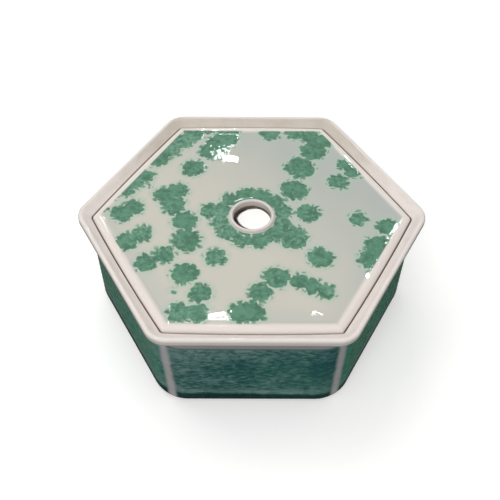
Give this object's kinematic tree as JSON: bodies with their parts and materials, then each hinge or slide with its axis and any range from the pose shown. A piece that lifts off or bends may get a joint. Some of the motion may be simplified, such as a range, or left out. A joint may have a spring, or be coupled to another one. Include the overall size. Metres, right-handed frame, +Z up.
{
  "type": "flower frog",
  "caption": "Low hexagonal glazed bowl for water with a drop-in cover whose central hole holds flower stems upright.",
  "frame": {"origin": "centre of the base, on the surface that the bowl stands on", "axes": "+Z up along the hole, +X through two opposite corners of the hexagon, +Y square to a flat side"},
  "size_m": [0.1958, 0.173, 0.067],
  "materials": {
    "bowl_glaze": "glossy mottled green glaze, white on the rim, neck and corners",
    "cover_glaze": "glossy pale celadon white with sponged green sprigs"
  },
  "bodies": {
    "bowl": {"bowl": "bowl_glaze"},
    "cover": {"cover": "cover_glaze"}
  },
  "joints": [
    {"name": "cover_lift", "type": "slide", "parent": "bowl", "child": "cover", "axis": [0, 0, 1], "range_m": [0, 0.1]}
  ]
}
